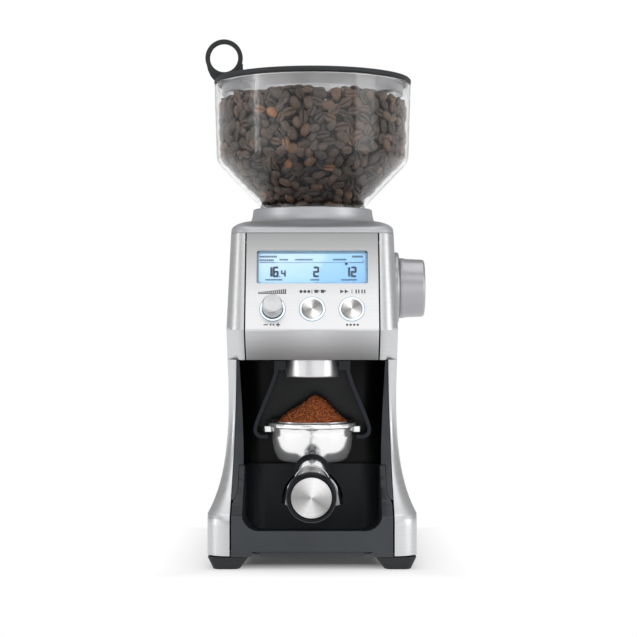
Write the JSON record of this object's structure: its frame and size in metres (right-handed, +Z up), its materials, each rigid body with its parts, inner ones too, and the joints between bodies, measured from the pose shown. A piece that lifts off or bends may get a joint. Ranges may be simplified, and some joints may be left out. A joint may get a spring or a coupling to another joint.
{
  "type": "burr coffee grinder",
  "caption": "Domestic conical burr coffee grinder with a clear hopper, lit sloping panel, side grind dial and a portafilter docked in its cradle.",
  "frame": {"origin": "bottom centre of the bounding box of the whole object with the portafilter docked, on the surface it stands on", "axes": "+X to the right with the grind dial, -Y to the front with the handle, +Z up"},
  "size_m": [0.1682, 0.3196, 0.3897],
  "materials": {
    "brushed_steel": "fine vertical brushing on the panels, spun brushing on the buttons and the handle cap",
    "chrome": "polished chrome plate",
    "silver_plastic": "satin silver lacquer",
    "black_plastic": "semi-gloss moulded black",
    "charcoal_plastic": "fine-textured charcoal moulding",
    "rubber": "matt elastomer",
    "clear_plastic": "clear, faintly smoked",
    "circuit_board": "green laminate",
    "display": "lit pale blue panel with dark segments",
    "halo": "frosted light ring",
    "machined_steel": "machined",
    "nylon": "natural nylon",
    "coffee_beans": "roasted beans, slightly oily",
    "ground_coffee": "medium-fine grounds"
  },
  "bodies": {
    "base": {"side_panel_right": "brushed_steel", "side_panel_left": "brushed_steel", "rear_cover": "charcoal_plastic", "front_fascia": "brushed_steel", "top_cover": "silver_plastic", "base_pan": "black_plastic", "foot_front_left": "rubber", "foot_front_right": "rubber", "foot_rear_left": "rubber", "foot_rear_right": "rubber", "bay_liner": "black_plastic", "bay_frame": "charcoal_plastic", "cradle": "black_plastic", "control_board": "circuit_board", "lcd_module": "display", "lcd_window": "clear_plastic", "amount_halo": "halo", "shots_halo": "halo", "start_halo": "halo", "dial_escutcheon": "chrome", "grind_chamber": "black_plastic", "outlet_chute": "black_plastic", "outlet_ring": "chrome", "gear_case": "charcoal_plastic", "gear_cover": "charcoal_plastic", "motor": "machined_steel", "bearing_lower": "machined_steel", "bearing_upper": "machined_steel", "power_board": "circuit_board", "cable_gland": "rubber", "rear_screw_left": "machined_steel", "rear_screw_right": "machined_steel"},
    "hopper": {"hopper": "clear_plastic"},
    "hopper_lock": {"hopper_lock_knob": "silver_plastic", "hopper_gate": "black_plastic"},
    "lid": {"lid_disc": "clear_plastic", "lid_seal": "rubber"},
    "grind_dial": {"dial_knob": "silver_plastic", "dial_shaft": "nylon"},
    "burr_adjuster": {"adjust_ring": "nylon", "burr_holder": "black_plastic", "ring_burr": "machined_steel"},
    "burr_drive": {"drive_gear": "nylon", "burr_shaft": "machined_steel", "impeller": "nylon", "cone_burr": "machined_steel", "burr_nut": "machined_steel"},
    "motor_rotor": {"motor_pinion": "machined_steel"},
    "grinds_tray": {"grinds_tray": "charcoal_plastic"},
    "portafilter": {"portafilter_body": "chrome", "filter_basket": "brushed_steel", "twin_spout": "chrome", "handle_ferrule": "chrome", "handle_grip": "black_plastic", "handle_cap": "brushed_steel"},
    "portafilter_switch": {"portafilter_switch": "black_plastic"},
    "shots_button": {"shots_button": "brushed_steel"},
    "start_button": {"start_button": "brushed_steel"},
    "amount_stem": {"amount_shaft": "machined_steel"},
    "amount_knob": {"amount_knob": "chrome"}
  },
  "joints": [
    {"name": "hopper_lift", "type": "slide", "parent": "base", "child": "hopper", "axis": [0, 0, 1], "range_m": [0, 0.06]},
    {"name": "hopper_lock_turn", "type": "hinge", "parent": "hopper", "child": "hopper_lock", "pos_m": [0, 0.064, 0.25], "axis": [0, 0, 1], "range_deg": [0, 90]},
    {"name": "lid_lift", "type": "slide", "parent": "hopper", "child": "lid", "axis": [0, 0, 1], "range_m": [0, 0.06]},
    {"name": "grind_dial_turn", "type": "hinge", "parent": "base", "child": "grind_dial", "pos_m": [0.076, 0.064, 0.1992], "axis": [1, 0, 0], "range_deg": [-66, 288]},
    {"name": "burr_adjuster_turn", "type": "hinge", "parent": "base", "child": "burr_adjuster", "pos_m": [0, 0.064, 0.187], "axis": [0, 0, 1], "range_deg": [-16.5, 72]},
    {"name": "burr_spin", "type": "hinge", "parent": "base", "child": "burr_drive", "pos_m": [0, 0.064, 0.1547], "axis": [0, 0, 1], "continuous": true},
    {"name": "motor_spin", "type": "hinge", "parent": "base", "child": "motor_rotor", "pos_m": [0, 0.106, 0.1547], "axis": [0, 0, 1], "continuous": true},
    {"name": "tray_slide", "type": "slide", "parent": "base", "child": "grinds_tray", "axis": [0, -1, 0], "range_m": [0, 0.04]},
    {"name": "portafilter_slide", "type": "slide", "parent": "base", "child": "portafilter", "axis": [0, -1, 0], "range_m": [0, 0.12]},
    {"name": "switch_press", "type": "slide", "parent": "base", "child": "portafilter_switch", "axis": [0, 1, 0], "range_m": [0, 0.002], "stiffness_N_per_m": 500, "springref_m": -0.0008},
    {"name": "shots_press", "type": "slide", "parent": "base", "child": "shots_button", "axis": [0, 0.9352, -0.3541], "range_m": [0, 0.0012], "stiffness_N_per_m": 800, "springref_m": -0.0005},
    {"name": "start_press", "type": "slide", "parent": "base", "child": "start_button", "axis": [0, 0.9352, -0.3541], "range_m": [0, 0.0012], "stiffness_N_per_m": 800, "springref_m": -0.0005},
    {"name": "amount_press", "type": "slide", "parent": "base", "child": "amount_stem", "axis": [0, 0.9352, -0.3541], "range_m": [0, 0.001], "stiffness_N_per_m": 800, "springref_m": -0.0005},
    {"name": "amount_turn", "type": "hinge", "parent": "amount_stem", "child": "amount_knob", "pos_m": [-0.0282, -0.03298, 0.18469], "axis": [0, -0.9352, 0.3541], "continuous": true}
  ],
  "couplings": [
    {"joint": "burr_adjuster_turn", "follows": "grind_dial_turn", "ratio": 0.25},
    {"joint": "motor_spin", "follows": "burr_spin", "ratio": -4}
  ]
}
